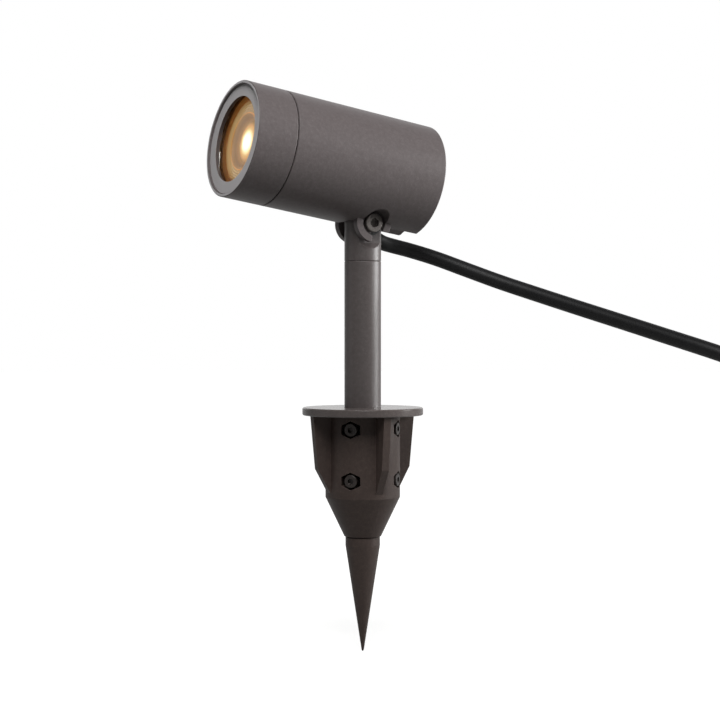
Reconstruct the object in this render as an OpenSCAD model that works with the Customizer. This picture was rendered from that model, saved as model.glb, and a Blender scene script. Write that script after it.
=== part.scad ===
// Landscape spotlight: a cylinder head on a tilting knuckle, a round post, a ground plate and a stake.
// The origin is at ground level on the post's axis. +Z is up, the lens faces -Y, the cord leaves toward +Y.

/* [Head] */
// Outer diameter of the head
head_d = 62.4; // [52:0.2:76]
// Length of the head from its front rim to its rear face
head_len = 113.6; // [108:0.2:125]
// Length of the bezel, the front part that unscrews
bezel_len = 22.6; // [21:0.2:26]
// Width of the seam between the bezel and the housing
seam_w = 0.6; // [0.3:0.1:1]
// Wall of the housing round the lamp
housing_wall = 4.7; // [4.5:0.1:6]
// Thickness of the closed rear end
rear_wall = 5; // [4:0.5:7]
// Chamfer on the outer edges of the head
edge_chamfer = 0.7; // [0.3:0.1:1.2]
// Upward aim of the head at rest, in degrees
head_tilt = 9.5; // [0:0.5:20]

/* [Bezel and glass] */
// Width of the front face, from the head's outside to the opening
face_w = 8.3; // [7:0.1:10]
// Width of the raised rim round the front face
rim_w = 2; // [1.2:0.1:3]
// Depth of the front face behind the raised rim
rim_recess = 1.4; // [0.6:0.1:2]
// Bevel on the inner edge of the raised rim
rim_bevel = 0.5; // [0.2:0.1:1]
// Thickness of the lip that holds the glass
lip_t = 2.6; // [2:0.1:4]
// Thickness of the front glass
glass_t = 4; // [3:0.5:4]
// Thickness of the silicone ring between glass and lip
glass_gasket_t = 0.6; // [0.4:0.1:1.4]
// Thickness of the wall round the threaded skirt of the bezel
skirt_wall = 3; // [2.2:0.1:3.2]

/* [Knuckle] */
// Distance from the front rim back to the pivot
pivot_back = 84.1; // [80:0.1:90]
// Distance from the head's lowest line up to the pivot
pivot_inset = 2; // [0.2:0.1:3.2]
// Distance over the outer faces of the two ears
ears_w = 25.4; // [24:0.2:28]
// Distance between the inner faces of the two ears
ears_gap = 17.2; // [16.8:0.1:18]
// Radius of the round ears
ear_r = 10.4; // [9:0.1:10.8]
// Width of the tongue over its milled flats
tongue_w = 15.2; // [13:0.2:15.8]
// Depth of the milled flats below the pivot
flat_drop = 10.8; // [10.8:0.1:12]
// Height of the sloping run-out below the flats
flat_runout = 3; // [1:0.5:4]
// Diameter of the pivot screw
pivot_d = 6; // [5:0.5:6.5]
// Diameter of the counterbore round the screw head
counterbore_d = 13.8; // [12:0.2:15]
// Depth of the counterbore in the ear
counterbore_depth = 2.4; // [1:0.1:2.6]
// Radius of the relief groove behind the knuckle
groove_r = 16; // [12:0.5:20]
// Depth of the relief groove above the lowest line of the head
groove_depth = 4.5; // [3:0.1:5]
// Highest upward aim, in degrees above level
aim_up = 60; // [45:1:60]
// Lowest downward aim, in degrees below level
aim_down = 35; // [20:1:40]

/* [Post] */
// Diameter of the post
post_d = 20; // [18:0.5:20]
// Wall thickness of the post tube
post_wall = 2; // [1.5:0.1:3]
// Height of the pivot above the ground
pivot_h = 104.4; // [95:0.1:200]
// Distance from the pivot down to the seam between post tube and knuckle
seam_drop = 20.5; // [16:0.1:40]

/* [Ground plate and stake] */
// Diameter of the ground plate
plate_d = 66; // [55:1:90]
// Thickness of the ground plate
plate_t = 4.2; // [3:0.2:6]
// Diameter of the stake's round barrel
barrel_d = 40.8; // [38:0.2:44]
// Length of the barrel
barrel_len = 44.7; // [44:0.1:60]
// Length of the cone below the barrel
cone_len = 21.5; // [20:0.5:30]
// Diameter of the cone's lower end
cone_end_d = 20.2; // [19.6:0.2:24]
// Distance from the plate's edge in to the top of the ribs
rib_inset = 2.4; // [2:0.2:5]
// Distance that a rib draws in from its top to its knee
rib_taper = 2.8; // [1:0.2:5]
// Thickness of a rib
rib_t = 4.2; // [3:0.2:6]
// Depth of the rib's knee below the ground
rib_knee_depth = 28.7; // [20:0.1:30]
// Depth where the rib runs out into the barrel
rib_foot_depth = 42; // [36:0.5:43]
// Turn of the stake against the head, in degrees
stake_turn = -3; // [-45:1:45]
// Diameter of the shoulder of the tip
shoulder_d = 18.9; // [17:0.1:19.4]
// Length of the shoulder of the tip
shoulder_len = 5.1; // [3:0.1:8]
// Depth of the point below the ground
point_depth = 129.5; // [110:0.5:200]

/* [Stake clamp] */
// Width of a nut pocket
pocket_w = 10.8; // [10:0.1:12]
// Height of a nut pocket
pocket_h = 9.6; // [9.4:0.1:12]
// Height of the upright sides of a nut pocket
pocket_side = 4.8; // [4:0.1:5]
// Depth of a nut pocket from the barrel's surface
pocket_depth = 9; // [7:0.1:9.5]
// Depth of the upper pockets below the ground
upper_pocket = 7.2; // [6.5:0.1:9]
// Depth of the lower pockets below the ground
lower_pocket = 34.9; // [25:0.1:36]
// Thread diameter of the clamp screws
clamp_d = 4; // [3:0.5:4.5]
// Diameter of the spigot that joins the post to the stake
spigot_d = 16; // [14:0.5:16]

/* [Lamp] */
// Room round the lamp, which is 50 mm across
lamp_room = 1.5; // [0.5:0.1:3]
// Length of the lamp without its pins
lamp_len = 56.4; // [50:0.2:58]
// Depth of the lens's bowl below the lamp's face
bowl_depth = 3; // [2:0.1:4]
// Distance between the lamp's two pins
pin_pitch = 10; // [9:0.5:11]

/* [Cord] */
// Diameter of the rubber cord
cord_d = 8.4; // [7:0.1:8.4]
// Outer diameter of the moulded plug
plug_d = 39; // [37:0.5:40]
// Length of the moulded plug without its pins
plug_len = 40; // [36:1:44]
// Length of the plug's strain relief
boot_len = 26; // [20:1:30]

/* [Hidden] */
$fn = 72;
overrun = 1;
running_fit = 0.05;
clearance = 0.3;
loose_fit = 0.5;

head_r = head_d / 2;
bore_r = head_r - housing_wall;
opening_r = head_r - face_w;
pivot_drop = head_r - pivot_inset;
front_h = pivot_back;
rear_h = pivot_back - head_len;
seam_front_h = front_h - bezel_len;
housing_h = seam_front_h - seam_w;
seam_chamfer = edge_chamfer / 2;

// Stack of the bezel from its face inward, along the head's axis from the pivot
face_h = front_h - rim_recess;
lip_h = face_h - lip_t;
glass_h = lip_h - running_fit - glass_gasket_t;
skirt_r = head_r - skirt_wall;
glass_r = skirt_r - loose_fit;
clip_t = 1.2;
clip_w = 2;
clip_h = glass_h - glass_t - clip_t;
thread_end_h = clip_h - loose_fit;
thread_r = skirt_r - running_fit;
oring_t = 1;
oring_h = housing_h + 2 * oring_t;
opening_flare = 1.2;

// Knuckle, in the head's own frame with the pivot at its origin
post_r = post_d / 2;
seam_h = pivot_h - seam_drop;
ear_face = ears_w / 2;
sweep_r = post_r + clearance;
groove_top = pivot_drop - head_r + groove_depth;
boss_wall = 2.6;
boss_half_w = ear_face + 2 * boss_wall;
boss_top = sweep_r + boss_wall;
boss_front = sweep_r + 2 * boss_wall + seam_w;
cut_drop = ear_r + overrun;
washer_t = (ears_gap - tongue_w) / 2 - running_fit;
washer_d = 2 * pivot_d + 3 * seam_w;
screw_head_rim = 2;
screw_head_d = pivot_d + 2 * screw_head_rim;
screw_head_t = 3;
screw_socket_af = 5;
screw_socket_depth = 2.4;
hex_share = 1.1547;

// Stake
barrel_r = barrel_d / 2;
rib_top_r = plate_d / 2 - rib_inset;
rib_knee_r = rib_top_r - rib_taper;
cone_end_depth = barrel_len + cone_len;
seat_depth = 0.6;
seat_r = rib_top_r + clearance;
spigot_depth = barrel_len + 1.5 * overrun;
tip_spigot_d = 10;
tip_spigot_len = 13;
point_r = 0.6;
tip_chamfer = 0.6;
plate_chamfer = 0.5;
post_bore_d = post_d - 2 * post_wall;
spigot_rise = 24;
knuckle_spigot_len = 16;
post_seam_chamfer = 0.3;
nut_af = 7;
nut_t = 3.2;
pocket_floor_r = barrel_r - pocket_depth;
clamp_socket_af = 3;
clamp_socket_depth = 2;
clamp_head_share = 1.75;
clamp_head_r = clamp_d * clamp_head_share / 2;
clamp_head_t = 3.6;
clamp_bevel = 0.3;
pocket_levels = [upper_pocket, lower_pocket];

// Lamp and its fittings, along the head's axis from the pivot
lamp_r = bore_r - lamp_room;
lamp_front_h = glass_h - glass_t - loose_fit;
lamp_end_h = lamp_front_h - lamp_len;
lamp_rim_t = 3.6;
lamp_base_share = 0.528;
lamp_base_r = lamp_r * lamp_base_share;
lamp_base_len = 11;
lamp_wall = 1.4;
reflector_end_r = 7.5;
reflector_depth_share = 0.52;
lamp_lens_t = 1.8;
bead_share = 0.608;
bowl_share = 0.456;
lens_ridges = 5;
lens_ridge_t = 0.35;
led_rise = 1.4;
led_step_share = 0.125;
pin_neck_d = 3;
pin_head_d = 5;
pin_len = 7;
pin_head_len = 3;
holder_share = 0.51;
holder_r = bore_r * holder_share;
holder_len = 15.5;
holder_h = lamp_end_h - running_fit - holder_len;
bracket_t = 1.5;
bracket_w = 14;
bracket_tab = 4;
screw_room = 1.7;
bracket_h = holder_h - bracket_t;
holder_post_r = 3.5;
small_screw_d = 3;
small_head_d = 5.5;
small_head_t = 2;
post_pitch = 2 * (holder_r + screw_room) + small_head_d;
bracket_len = post_pitch + 2 * bracket_tab;
rear_inner_h = rear_h + rear_wall;
block_t = 12;
block_ways = 3;
block_pitch_share = 0.34;
block_pitch = bore_r * block_pitch_share;
block_w = block_ways * block_pitch + overrun;
block_height_share = 0.453;
block_height = bore_r * block_height_share;
block_rise_share = 0.245;
block_rise = bore_r * block_rise_share;
block_hole_d = 3.6;
earth_screw_d = 4;
earth_head_d = 7;
earth_boss_len = 4;
earth_x_share = 0.415;
earth_x = bore_r * earth_x_share;
earth_room = 1.3;
earth_drop = pivot_drop - boss_top - earth_head_d / 2 - earth_room;

// Gland, on its own axis: zero at the end where the cord leaves, rising into the head
gland_nut_d = 12.6;
gland_share = 0.641;
gland_x = -max(ear_face + gland_nut_d / 2 + overrun, head_r * gland_share);
gland_end = [gland_x, 15.3, -0.8];
gland_dip = 30;
gland_nut_len = 8;
gland_body_d = 11;
gland_body_len = 10;
gland_boss_d = 15;
gland_boss_start = gland_nut_len;
gland_boss_len = 14;
gland_hole_len = 46;
inner_cord_len = 36;
cord_gap = 0.1;
core_d = 2.6;

// The cord's free stretch, from the gland to the put-away coil on the ground
cord_r = cord_d / 2;
cord_route = [
    [gland_x, 18.9, 97.7], [gland_x + 0.2, 24, 95.2], [gland_x + 1, 30, 93.6], [-16, 40, 91],
    [-10, 53, 86.6], [0, 67, 80.2], [13, 81, 73.2], [30, 95, 66], [50, 108, 58.6],
    [72, 120, 51.2], [96, 131, 43.6], [120, 142, 36], [133.5, 151.6, 30.5], [143.4, 164.4, 24.8],
    [149.6, 179, 18.6], [152, 195, 12.4], [152, 208, 8.3], [152, 218, 6.1], [152, 226.2, 5.3]
];
cord_start = [gland_x, 15, 100.9];
cord_sides = 12;
coil_sides = 6;
coil_rings = 24;
coil_pitch = 9;
coil_turns = 4.25;
coil_center = [100, 243, 5.3];
coil_out_r = 52;
coil_reverse = 2;
climb_turns = 0.5;
tie_t = 1;
tie_room = 0.4;
tie_w = 4.5;
tie_turn = 180;
tie_head = [5, 6, 6];
plug_at = [27, 297.25, 19.5];
tail_route = [
    [85, 297.25, 14.3], [78, 297.25, 15.3], [69, 297.25, 18.4], [61, 297.25, 19.5]
];
plug_pin_pitch = 19;
plug_pin_d = 4.8;
plug_pin_len = 19;
plug_neck_r = 8;
boot_tip_r = 5.2;
boot_ribs = 5;
boot_rib_depth = 0.8;
clip_strip = [1.2, 5, 18];

// Frames: the head's own frame, a place along the head's axis, the gland's axis, a radial place on the stake
module head_frame() {
    translate([0, 0, pivot_h]) rotate([-head_tilt, 0, 0]) children();
}

module on_axis(h = 0, x = 0, up = 0) {
    translate([x, -h, pivot_drop + up]) rotate([90, 0, 0]) children();
}

module on_gland(back = 0) {
    translate(gland_end) rotate([90 - gland_dip, 0, 0]) translate([0, 0, back]) children();
}

module on_stake(turn, depth) {
    rotate([0, 0, stake_turn + turn]) translate([0, 0, -depth]) rotate([0, 90, 0]) children();
}

module side_extrude(width) {
    rotate([90, 0, 90]) linear_extrude(width, center = true) children();
}

module ring(outer_r, inner_r, h) {
    difference() {
        cylinder(r = outer_r, h = h);
        translate([0, 0, -overrun]) cylinder(r = inner_r, h = h + 2 * overrun);
    }
}

module hex_rod(af, h) {
    cylinder(d = af * hex_share, h = h, $fn = 6);
}

// Tube swept along a list of points: one ring of corners to each point, closed at both ends
function unit(v) = v / norm(v);
function heading(p, i) = unit(p[min(i + 1, len(p) - 1)] - p[max(i - 1, 0)]);
function ring_points(p, i, r, sides) =
    let (t = heading(p, i), side = unit(cross(t, [0, 0, 1])), up = cross(side, t))
    [for (k = [0 : sides - 1]) p[i] + r * (cos(360 * k / sides) * side + sin(360 * k / sides) * up)];
function tube_faces(count, sides) = concat(
    [for (i = [0 : count - 2], k = [0 : sides - 1])
        [i * sides + k, i * sides + (k + 1) % sides, (i + 1) * sides + (k + 1) % sides]],
    [for (i = [0 : count - 2], k = [0 : sides - 1])
        [i * sides + k, (i + 1) * sides + (k + 1) % sides, (i + 1) * sides + k]],
    [for (k = [1 : sides - 2]) [0, k + 1, k]],
    [for (k = [1 : sides - 2]) [0, k, k + 1] + [1, 1, 1] * (count - 1) * sides]
);

module tube(p, r, sides) {
    polyhedron(
        points = [for (i = [0 : len(p) - 1]) each ring_points(p, i, r, sides)],
        faces = tube_faces(len(p), sides)
    );
}

// Smooth curve through hand-chosen points, with a given number of steps between two of them
function blend_points(a, b, c, d, t) = 0.5 * (
    2 * b + (c - a) * t + (2 * a - 5 * b + 4 * c - d) * t * t + (3 * b - a - 3 * c + d) * t * t * t);
function smooth_route(p, steps) = concat(
    [for (i = [0 : len(p) - 2], s = [0 : steps - 1])
        blend_points(p[max(i - 1, 0)], p[i], p[i + 1], p[min(i + 2, len(p) - 1)], s / steps)],
    [p[len(p) - 1]]
);

// Put-away coil: the cord spirals in on the ground, climbs a layer where it reverses and spirals out again
function coil_radius(u) = coil_out_r - coil_pitch * (u < coil_reverse ? u : 2 * coil_reverse - u);
function coil_climb(u) = min(1, max(0, (u - coil_reverse) / climb_turns + 0.5));
function coil_point(u) =
    coil_center + [coil_radius(u) * cos(360 * u), coil_radius(u) * sin(360 * u), coil_pitch * coil_climb(u)];
coil_steps = coil_rings * coil_turns;
coil_line = [for (i = [0 : coil_steps]) coil_point(i / coil_rings)];
coil_path = concat(
    [coil_line[0] - [0, cord_d, 0]],
    coil_line,
    [coil_line[coil_steps] - [cord_d, 0, 0]]
);
cord_path = concat([cord_start], smooth_route(cord_route, 2), [coil_path[0]]);
tail_path = concat(
    [coil_path[len(coil_path) - 1]],
    smooth_route(tail_route, 2),
    [plug_at + [boot_len, 0, 0]]
);
coil_self_gap = min([
    for (i = [0 : coil_steps], j = [i + coil_rings / 2 : coil_steps])
        norm(coil_line[i] - coil_line[j]) - cord_d
]);
echo(coil_self_gap = coil_self_gap);

function path_length(p) = [for (i = [1 : len(p) - 1]) norm(p[i] - p[i - 1])] * [for (i = [1 : len(p) - 1]) 1];
echo(cord_length = path_length(cord_path) + path_length(coil_path) + path_length(tail_path));

// Ground stake
module spike_ribs() {
    for (turn = [0 : 90 : 270])
        rotate([90, 0, stake_turn + turn]) linear_extrude(rib_t, center = true) polygon([
            [pocket_floor_r, seat_depth], [rib_top_r, seat_depth], [rib_knee_r, -rib_knee_depth],
            [barrel_r, -rib_foot_depth], [pocket_floor_r, -rib_foot_depth]
        ]);
}

module nut_pocket() {
    translate([0, 0, pocket_floor_r]) linear_extrude(pocket_depth + overrun) polygon([
        [pocket_h / 2, 0], [pocket_side / 2, pocket_w / 2], [-pocket_side / 2, pocket_w / 2],
        [-pocket_h / 2, 0], [-pocket_side / 2, -pocket_w / 2], [pocket_side / 2, -pocket_w / 2]
    ]);
}

module spike_body() {
    color("#332c29") difference() {
        union() {
            rotate_extrude() polygon([
                [0, seat_depth], [barrel_r, seat_depth], [barrel_r, -barrel_len],
                [cone_end_d / 2, -cone_end_depth], [0, -cone_end_depth]
            ]);
            spike_ribs();
        }
        translate([0, 0, -spigot_depth]) cylinder(d = spigot_d, h = spigot_depth + 2 * overrun);
        translate([0, 0, -cone_end_depth - overrun])
            cylinder(d = tip_spigot_d, h = tip_spigot_len + overrun);
        for (turn = [45 : 90 : 315], depth = pocket_levels) {
            on_stake(turn, depth) nut_pocket();
            on_stake(turn, depth) cylinder(d = clamp_d, h = barrel_r);
        }
    }
}

module spike_tip() {
    tip_r = shoulder_d / 2;
    color("#3a3330") rotate_extrude() polygon([
        [0, tip_spigot_len - cone_end_depth], [tip_spigot_d / 2, tip_spigot_len - cone_end_depth],
        [tip_spigot_d / 2, -cone_end_depth], [tip_r - tip_chamfer, -cone_end_depth],
        [tip_r, -cone_end_depth - tip_chamfer], [tip_r, -cone_end_depth - shoulder_len],
        [point_r, -point_depth + point_r], [0, -point_depth]
    ]);
}

module ground_plate() {
    plate_r = plate_d / 2;
    color("#4b4440") rotate_extrude() polygon([
        [spigot_d / 2, seat_depth], [seat_r, seat_depth], [seat_r, 0], [plate_r - plate_chamfer, 0],
        [plate_r, plate_chamfer], [plate_r, plate_t - plate_chamfer],
        [plate_r - plate_chamfer, plate_t], [spigot_d / 2, plate_t]
    ]);
}

module post_spigot() {
    color("#8d8d8b") translate([0, 0, overrun - spigot_depth])
        cylinder(d = spigot_d, h = spigot_depth - overrun + plate_t);
    color("#8d8d8b") translate([0, 0, plate_t])
        cylinder(d = post_bore_d, h = spigot_rise);
}

module clamp_nuts() {
    color("#3a3431") for (turn = [45 : 90 : 315], depth = pocket_levels)
        on_stake(turn, depth) translate([0, 0, pocket_floor_r]) difference() {
            hex_rod(nut_af, nut_t);
            translate([0, 0, -overrun]) cylinder(d = clamp_d, h = nut_t + 2 * overrun);
        }
}

// Cap screws whose heads come level with the barrel
module clamp_screws() {
    reach = barrel_r - spigot_d / 2;
    color("#3a3431") for (turn = [45 : 90 : 315], depth = pocket_levels)
        on_stake(turn, depth) translate([0, 0, spigot_d / 2]) difference() {
            rotate_extrude() polygon([
                [0, 0], [clamp_d / 2, 0], [clamp_d / 2, reach - clamp_head_t],
                [clamp_head_r, reach - clamp_head_t], [clamp_head_r, reach - clamp_bevel],
                [clamp_head_r - clamp_bevel, reach], [0, reach]
            ]);
            translate([0, 0, reach - clamp_socket_depth])
                hex_rod(clamp_socket_af, clamp_socket_depth + overrun);
        }
}

// Post
module post_tube() {
    color("#5a544f") rotate_extrude() polygon([
        [post_bore_d / 2, plate_t], [post_r, plate_t], [post_r, seam_h - post_seam_chamfer],
        [post_r - post_seam_chamfer, seam_h], [post_bore_d / 2, seam_h]
    ]);
}

module post_knuckle() {
    top = pivot_h + post_r;
    flat_h = pivot_h - flat_drop;
    color("#5a544f") difference() {
        union() {
            intersection() {
                rotate_extrude() polygon([
                    [0, seam_h], [post_r - post_seam_chamfer, seam_h], [post_r, seam_h + post_seam_chamfer],
                    [post_r, top], [0, top]
                ]);
                side_extrude(2 * post_d) union() {
                    translate([0, pivot_h]) circle(r = post_r);
                    translate([-post_r - overrun, seam_h - overrun])
                        square([post_d + 2 * overrun, pivot_h - seam_h + overrun]);
                }
                rotate([90, 0, 0]) linear_extrude(2 * post_d, center = true) polygon([
                    [-post_r - overrun, seam_h - overrun], [post_r + overrun, seam_h - overrun],
                    [post_r + overrun, flat_h - flat_runout], [post_r, flat_h - flat_runout],
                    [tongue_w / 2, flat_h], [tongue_w / 2, top + overrun], [-tongue_w / 2, top + overrun],
                    [-tongue_w / 2, flat_h], [-post_r, flat_h - flat_runout],
                    [-post_r - overrun, flat_h - flat_runout]
                ]);
            }
            translate([0, 0, seam_h - knuckle_spigot_len])
                cylinder(d = post_bore_d, h = knuckle_spigot_len + overrun);
        }
        translate([-post_d, 0, pivot_h]) rotate([0, 90, 0])
            cylinder(d = pivot_d + 2 * running_fit, h = 2 * post_d);
    }
}

// Head housing with its ears, its tongue slot and the bosses inside
module housing_shell() {
    on_axis() rotate_extrude() polygon([
        [0, rear_h], [head_r - edge_chamfer, rear_h], [head_r, rear_h + edge_chamfer],
        [head_r, housing_h - seam_chamfer], [head_r - seam_chamfer, housing_h], [thread_r, housing_h],
        [thread_r, oring_h - oring_t], [thread_r - oring_t, oring_h - oring_t],
        [thread_r - oring_t, oring_h], [thread_r, oring_h], [thread_r, thread_end_h],
        [bore_r, thread_end_h], [bore_r, rear_inner_h], [0, rear_inner_h]
    ]);
}

module knuckle_boss() {
    intersection() {
        on_axis(rear_h + edge_chamfer) cylinder(r = (head_r + bore_r) / 2, h = boss_front - rear_h);
        translate([-boss_half_w, -boss_front, pivot_drop - head_r])
            cube([2 * boss_half_w, boss_front - rear_h, boss_top + head_r - pivot_drop]);
    }
}

module ears() {
    for (side = [-1, 1])
        translate([side * (ear_face + ears_gap / 2) / 2, 0, 0]) rotate([0, 90, 0])
            cylinder(r = ear_r, h = ear_face - ears_gap / 2, center = true);
}

module tongue_slot() {
    rear_run = (sweep_r * sin(aim_up) + cut_drop) / cos(aim_up);
    front_run = (sweep_r * sin(aim_down) + cut_drop) / cos(aim_down);
    side_extrude(ears_gap) union() {
        circle(r = sweep_r);
        polygon([
            sweep_r * [cos(aim_up), sin(aim_up)],
            [sweep_r * cos(aim_up) + rear_run * sin(aim_up), -cut_drop],
            [-sweep_r * cos(aim_down) - front_run * sin(aim_down), -cut_drop],
            sweep_r * [-cos(aim_down), sin(aim_down)]
        ]);
    }
}

module relief_groove() {
    translate([0, 0, groove_top - groove_r]) rotate([-90, 0, 0])
        cylinder(r = groove_r, h = overrun - rear_h);
}

module holder_posts() {
    for (side = [-1, 1])
        on_axis(rear_inner_h - overrun, side * post_pitch / 2)
            cylinder(r = holder_post_r, h = bracket_h - rear_inner_h + overrun);
    on_axis(rear_inner_h - overrun, earth_x, -earth_drop)
        cylinder(d = earth_head_d, h = earth_boss_len + overrun);
}

module head_housing() {
    color("#5a544f") head_frame() difference() {
        union() {
            housing_shell();
            knuckle_boss();
            ears();
            holder_posts();
            on_gland(gland_boss_start) cylinder(d = gland_boss_d, h = gland_boss_len);
        }
        tongue_slot();
        relief_groove();
        translate([ear_face - counterbore_depth, 0, 0]) rotate([0, 90, 0])
            cylinder(d = counterbore_d, h = head_r);
        translate([-ear_face - overrun, 0, 0]) rotate([0, 90, 0])
            cylinder(d = pivot_d, h = 2 * ear_face + 2 * overrun);
        on_gland(gland_boss_start - overrun) cylinder(d = gland_body_d, h = gland_body_len + overrun);
        on_gland() cylinder(d = cord_d + loose_fit, h = gland_hole_len);
        on_gland(-gland_nut_len) cylinder(d = gland_nut_d + 2 * clearance, h = 2 * gland_nut_len);
        for (side = [-1, 1])
            on_axis(bracket_h - 3 * small_screw_d, side * post_pitch / 2)
                cylinder(d = small_screw_d, h = 3 * small_screw_d + overrun);
        on_axis(rear_inner_h, earth_x, -earth_drop)
            cylinder(d = earth_screw_d, h = earth_boss_len + overrun);
    }
}

module pivot_screw() {
    seat = ear_face - counterbore_depth;
    color("#6a6560") head_frame() rotate([0, 90, 0]) difference() {
        union() {
            translate([0, 0, -ear_face + edge_chamfer])
                cylinder(d = pivot_d, h = seat + ear_face - edge_chamfer);
            rotate_extrude() polygon([
                [0, seat], [screw_head_d / 2, seat],
                [screw_head_d / 2, seat + screw_head_t - seam_chamfer],
                [screw_head_d / 2 - seam_chamfer, seat + screw_head_t], [0, seat + screw_head_t]
            ]);
        }
        translate([0, 0, seat + screw_head_t - screw_socket_depth])
            hex_rod(screw_socket_af, screw_socket_depth + overrun);
    }
}

module friction_washers() {
    color("#2b2b2b") head_frame() for (side = [-1, 1])
        translate([side * (ears_gap - washer_t) / 2, 0, 0]) rotate([0, 90, 0])
            translate([0, 0, -washer_t / 2]) ring(washer_d / 2, pivot_d / 2, washer_t);
}

// Bezel, glass and seals
module bezel_seal() {
    color("#202020") head_frame() on_axis(oring_h - oring_t)
        ring(thread_r, thread_r - oring_t, oring_t);
}

module bezel() {
    rim_r = head_r - rim_w;
    color("#5a544f") head_frame() on_axis() rotate_extrude() polygon([
        [skirt_r, seam_front_h], [head_r - seam_chamfer, seam_front_h],
        [head_r, seam_front_h + seam_chamfer], [head_r, front_h - seam_chamfer],
        [head_r - seam_chamfer, front_h], [rim_r + rim_bevel, front_h],
        [rim_r, front_h - rim_bevel], [rim_r, face_h], [opening_r, face_h],
        [opening_r + opening_flare, lip_h], [skirt_r, lip_h]
    ]);
}

module front_glass() {
    color("#dfe6e6", 0.4) head_frame() on_axis(glass_h - glass_t) cylinder(r = glass_r, h = glass_t);
}

module glass_gasket() {
    color("#c9c6c0") head_frame() on_axis(glass_h)
        ring(glass_r, opening_r + 2 * opening_flare, glass_gasket_t);
}

module glass_clip() {
    color("#a8a6a2") head_frame() on_axis(clip_h)
        ring(skirt_r - running_fit, skirt_r - clip_w, clip_t);
}

// Lamp: a reflector lamp with two pins
function reflector_r(s) = reflector_end_r + (lamp_r - 3 * lamp_wall - reflector_end_r) * sqrt(s);

module lamp_body() {
    base_top = lamp_end_h + lamp_base_len;
    cup_depth = lamp_len * reflector_depth_share;
    cup_bottom = lamp_front_h - cup_depth;
    color("#c9b28a") head_frame() on_axis() rotate_extrude() polygon(concat(
        [[0, lamp_end_h], [lamp_base_r - lamp_wall, lamp_end_h], [lamp_base_r, lamp_end_h + lamp_wall],
         [lamp_base_r, base_top]],
        [for (s = [0.15 : 0.17 : 0.83])
            [lamp_base_r + (lamp_r - lamp_base_r) * sqrt(s),
             base_top + (lamp_front_h - lamp_rim_t - base_top) * s]],
        [[lamp_r, lamp_front_h - lamp_rim_t], [lamp_r, lamp_front_h], [lamp_r - 2 * lamp_wall, lamp_front_h],
         [lamp_r - 2 * lamp_wall, lamp_front_h - lamp_lens_t]],
        [for (s = [1 : -0.14 : 0.02]) [reflector_r(s), cup_bottom + (cup_depth - lamp_lens_t) * s]],
        [[reflector_end_r, cup_bottom], [0, cup_bottom]]
    ));
}

// Lens with a ridged ring, a bead round its bowl and the bowl's sloping side
module lamp_lens() {
    lens_r = lamp_r - 2 * lamp_wall - clearance;
    bead_r = lamp_r * bead_share;
    bowl_r = lamp_r * bowl_share;
    ridge_w = (lens_r - bead_r) / lens_ridges;
    color("#c9b392") head_frame() on_axis(lamp_front_h) rotate_extrude() polygon(concat(
        [[0, -bowl_depth], [bowl_r, -bowl_depth], [bead_r - lens_ridge_t, -lens_ridge_t], [bead_r, 0]],
        [for (i = [0 : lens_ridges - 1], edge = [0.15, 0.5, 0.85])
            [bead_r + ridge_w * (i + edge), -lens_ridge_t * (edge == 0.5 ? 1 : 2)]],
        [[lens_r, -2 * lens_ridge_t], [lens_r, -lamp_lens_t], [bead_r, -lamp_lens_t],
         [bowl_r, -bowl_depth - lamp_wall], [0, -bowl_depth - lamp_wall]]
    ));
}

// Domed light source on the floor of the bowl
module lamp_led() {
    led_r = lamp_r * bowl_share - loose_fit;
    color("#ffd27a") head_frame() on_axis(lamp_front_h - bowl_depth) rotate_extrude() polygon(concat(
        [[0, 0]],
        [for (s = [1 : -led_step_share : 0]) [led_r * s, led_rise * (1 - s * s)]]
    ));
}

module lamp_pins() {
    color("#c8c4ba") head_frame() for (side = [-1, 1])
        on_axis(lamp_end_h - pin_len, side * pin_pitch / 2) union() {
            cylinder(d = pin_head_d, h = pin_head_len);
            cylinder(d = pin_neck_d, h = pin_len);
        }
}

module lamp_holder() {
    color("#e9e6de") head_frame() on_axis(holder_h) difference() {
        cylinder(r = holder_r, h = holder_len);
        for (side = [-1, 1])
            translate([side * pin_pitch / 2, 0, holder_len - pin_len - overrun])
                cylinder(d = pin_head_d + 2 * clearance, h = pin_len + 2 * overrun);
        translate([0, 0, -overrun]) cylinder(d = small_screw_d, h = holder_len / 2);
    }
}

module holder_bracket() {
    color("#b9b9b7") head_frame() on_axis(bracket_h) difference() {
        translate([-bracket_len / 2, -bracket_w / 2, 0]) cube([bracket_len, bracket_w, bracket_t]);
        for (side = [-1, 1])
            translate([side * post_pitch / 2, 0, -overrun])
                cylinder(d = small_screw_d + clearance, h = bracket_t + 2 * overrun);
        translate([0, 0, -overrun]) cylinder(d = small_screw_d + clearance, h = bracket_t + 2 * overrun);
    }
}

module small_screw(grip) {
    cylinder(d = small_head_d, h = small_head_t);
    translate([0, 0, -grip]) cylinder(d = small_screw_d, h = grip);
}

module holder_screws() {
    color("#c2c0bb") head_frame() {
        for (side = [-1, 1])
            on_axis(bracket_h + bracket_t, side * post_pitch / 2)
                small_screw(2 * small_screw_d + bracket_t);
        on_axis(bracket_h) mirror([0, 0, 1]) small_screw(2 * small_screw_d);
    }
}

module terminal_block() {
    color("#efece4") head_frame() on_axis(rear_inner_h, 0, block_rise) difference() {
        translate([-block_w / 2, 0, 0]) cube([block_w, block_height, block_t]);
        for (way = [-1 : block_ways - 2], row = [0, 1])
            translate([way * block_pitch, block_height * (1 + 2 * row) / 4, block_t / 2])
                cylinder(d = block_hole_d, h = block_t);
    }
}

module terminal_screws() {
    color("#c9a24e") head_frame() for (way = [-1 : block_ways - 2])
        on_axis(rear_inner_h + block_t * 0.75, way * block_pitch, block_rise + block_height)
            rotate([-90, 0, 0]) translate([0, 0, running_fit]) cylinder(d = small_screw_d, h = overrun);
}

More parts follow.
